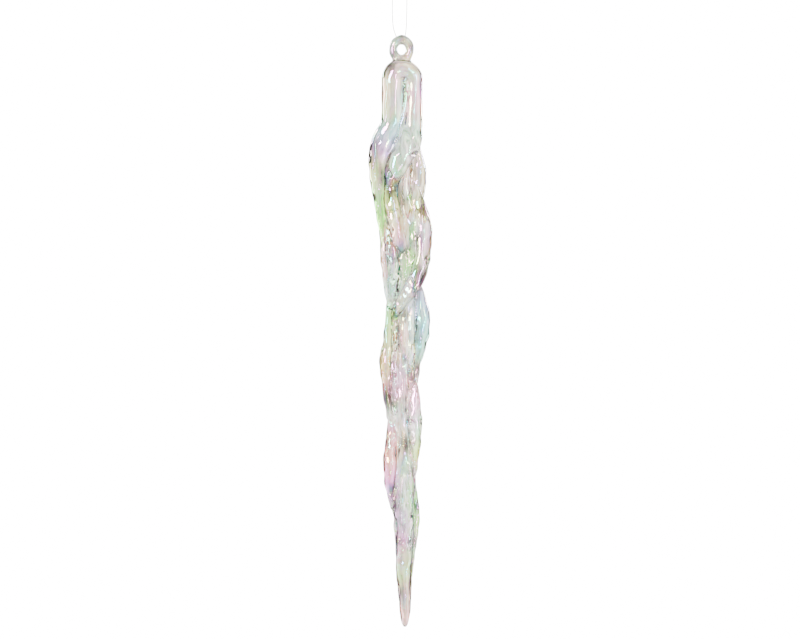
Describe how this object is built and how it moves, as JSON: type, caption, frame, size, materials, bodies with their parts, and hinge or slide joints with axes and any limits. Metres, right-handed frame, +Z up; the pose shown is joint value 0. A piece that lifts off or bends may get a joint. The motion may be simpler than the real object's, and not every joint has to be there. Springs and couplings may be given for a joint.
{
  "type": "icicle hanging ornament",
  "caption": "Clear iridescent glass icicle of twisted, drawn strands tapering to a rounded tip, hung by its ring from a clear thread loop.",
  "frame": {"origin": "the knot that the thread loop hangs from, above the ring", "axes": "+X to the viewer's right, +Y away from the viewer through the ring's bore, +Z up along the icicle"},
  "size_m": [0.0262, 0.0157, 0.2942],
  "materials": {
    "hanging_ring_glass": "clear, fire-polished, with a faint iridescent coat",
    "crown_fold_glass": "clear, fire-polished, with a faint iridescent coat",
    "crossing_strand_glass": "clear, fire-polished, with a faint iridescent coat",
    "right_leg_glass": "clear, fire-polished, with a faint iridescent coat",
    "left_leg_glass": "clear, fire-polished, with a faint iridescent coat",
    "right_upper_leaf_glass": "clear, fire-polished, with a faint iridescent coat",
    "right_lower_leaf_glass": "clear, fire-polished, with a faint iridescent coat",
    "shoulder_strand_glass": "clear, fire-polished, with a faint iridescent coat",
    "rose_strand_glass": "clear, fire-polished, with a faint iridescent coat",
    "blue_strand_glass": "clear, fire-polished, with a faint iridescent coat",
    "green_strand_glass": "clear, fire-polished, with a faint iridescent coat",
    "left_lower_strand_glass": "clear, fire-polished, with a faint iridescent coat",
    "middle_drop_glass": "clear, fire-polished, with a faint iridescent coat",
    "inner_drop_glass": "clear, fire-polished, with a faint iridescent coat",
    "centre_strand_glass": "clear, fire-polished, with a faint iridescent coat",
    "grey_strand_glass": "clear, fire-polished, with a faint iridescent coat",
    "left_lower_swell_glass": "clear, fire-polished, with a faint iridescent coat",
    "thin_right_strand_glass": "clear, fire-polished, with a faint iridescent coat",
    "magenta_strand_glass": "clear, fire-polished, with a faint iridescent coat",
    "low_green_strand_glass": "clear, fire-polished, with a faint iridescent coat",
    "core_spike_glass": "clear, fire-polished, with a faint iridescent coat",
    "clear_thread": "clear monofilament"
  },
  "bodies": {
    "loop_top": {"loop_knot": "clear_thread", "knot_tail_left": "clear_thread", "knot_tail_right": "clear_thread"},
    "thread": {"thread_run_front": "clear_thread", "thread_run_back": "clear_thread"},
    "bight": {"thread_bight": "clear_thread"},
    "icicle": {"hanging_ring": "hanging_ring_glass", "crown_fold": "crown_fold_glass", "crossing_strand": "crossing_strand_glass", "right_leg": "right_leg_glass", "left_leg": "left_leg_glass", "right_upper_leaf": "right_upper_leaf_glass", "right_lower_leaf": "right_lower_leaf_glass", "shoulder_strand": "shoulder_strand_glass", "rose_strand": "rose_strand_glass", "blue_strand": "blue_strand_glass", "green_strand": "green_strand_glass", "left_lower_strand": "left_lower_strand_glass", "middle_drop": "middle_drop_glass", "inner_drop": "inner_drop_glass", "centre_strand": "centre_strand_glass", "grey_strand": "grey_strand_glass", "left_lower_swell": "left_lower_swell_glass", "thin_right_strand": "thin_right_strand_glass", "magenta_strand": "magenta_strand_glass", "low_green_strand": "low_green_strand_glass", "core_spike": "core_spike_glass"}
  },
  "joints": [
    {"name": "thread_swing", "type": "hinge", "parent": "loop_top", "child": "thread", "pos_m": [0, 0, 0], "axis": [1, 0, 0], "range_deg": [-30, 30]},
    {"name": "thread_twist", "type": "hinge", "parent": "thread", "child": "bight", "pos_m": [0.0003, 0, -0.04], "axis": [0, 0, 1], "range_deg": [-90, 90]},
    {"name": "ring_rock", "type": "hinge", "parent": "bight", "child": "icicle", "pos_m": [0.0003, 0, -0.0521], "axis": [0, 1, 0], "range_deg": [-30, 30]}
  ]
}
